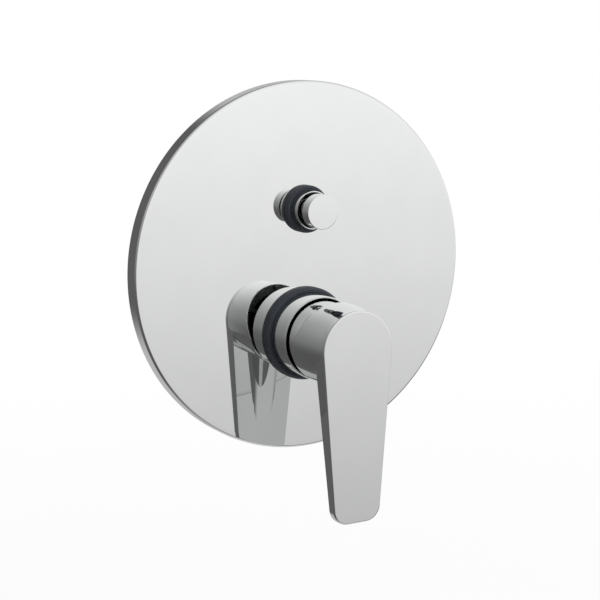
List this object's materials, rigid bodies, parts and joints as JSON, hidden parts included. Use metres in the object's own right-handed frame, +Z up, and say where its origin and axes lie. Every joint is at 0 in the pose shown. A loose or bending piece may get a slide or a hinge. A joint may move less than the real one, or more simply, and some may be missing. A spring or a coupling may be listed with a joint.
{
  "type": "concealed shower mixer",
  "caption": "Round chrome wall plate with a single lever and a push diverter, on a concealed brass mixer body with threaded inlets and outlets.",
  "frame": {"origin": "centre of the cover plate in the plane of the finished wall", "axes": "+Y into the wall, +Z up, so the lever and button stand out along -Y and +X is to the user's right"},
  "size_m": [0.19, 0.1113, 0.2169],
  "materials": {
    "chrome": "polished",
    "brass": "satin",
    "steel": "satin",
    "gasket_rubber": "satin",
    "seal_rubber": "matte",
    "foam": "matte",
    "cartridge_plastic": "matte",
    "ceramic": "gloss",
    "plug_plastic": "gloss"
  },
  "bodies": {
    "fixed": {"cover_plate": "chrome", "lever_sleeve": "chrome", "dome_ring": "chrome", "diverter_sleeve": "chrome", "valve_body": "brass", "cartridge_nut": "brass", "diverter_housing": "brass", "diverter_spring": "steel", "lever_gasket": "gasket_rubber", "diverter_gasket": "gasket_rubber", "lever_sleeve_ring": "seal_rubber", "hot_port_seal": "seal_rubber", "cold_port_seal": "seal_rubber", "mixed_port_seal": "seal_rubber", "diverter_housing_ring": "seal_rubber", "diverter_sleeve_ring": "seal_rubber", "spindle_ring": "seal_rubber", "plate_seal": "foam", "cartridge_base": "cartridge_plastic", "cartridge_housing": "cartridge_plastic", "fixed_disc": "ceramic"},
    "turret": {"turret": "cartridge_plastic", "stem_pin": "steel", "turret_ring": "seal_rubber"},
    "lever": {"lever_handle": "chrome", "handle_screw": "steel", "screw_plug": "plug_plastic", "stem": "steel"},
    "disc": {"disc_carrier": "cartridge_plastic", "moving_disc": "ceramic"},
    "button": {"diverter_button": "chrome", "diverter_spindle": "brass", "piston_seal_front": "seal_rubber", "diverter_piston": "brass", "piston_seal_rear": "seal_rubber", "spindle_clip": "steel"}
  },
  "joints": [
    {"name": "temperature_turn", "type": "hinge", "parent": "fixed", "child": "turret", "pos_m": [0, -0.0254, -0.0346], "axis": [0, 1, 0], "range_deg": [-50, 50]},
    {"name": "flow_lift", "type": "hinge", "parent": "turret", "child": "lever", "pos_m": [0, -0.0254, -0.0346], "axis": [-1, 0, 0], "range_deg": [0, 25]},
    {"name": "disc_slide", "type": "slide", "parent": "turret", "child": "disc", "axis": [0, 0, -1], "range_m": [0, 0.00411]},
    {"name": "diverter_push", "type": "slide", "parent": "fixed", "child": "button", "axis": [0, 1, 0], "range_m": [0, 0.007], "stiffness_N_per_m": 600, "springref_m": -0.004, "deforming": ["diverter_spring"]}
  ],
  "couplings": [
    {"joint": "disc_slide", "follows": "flow_lift", "m_per_rad": 0.0094}
  ]
}
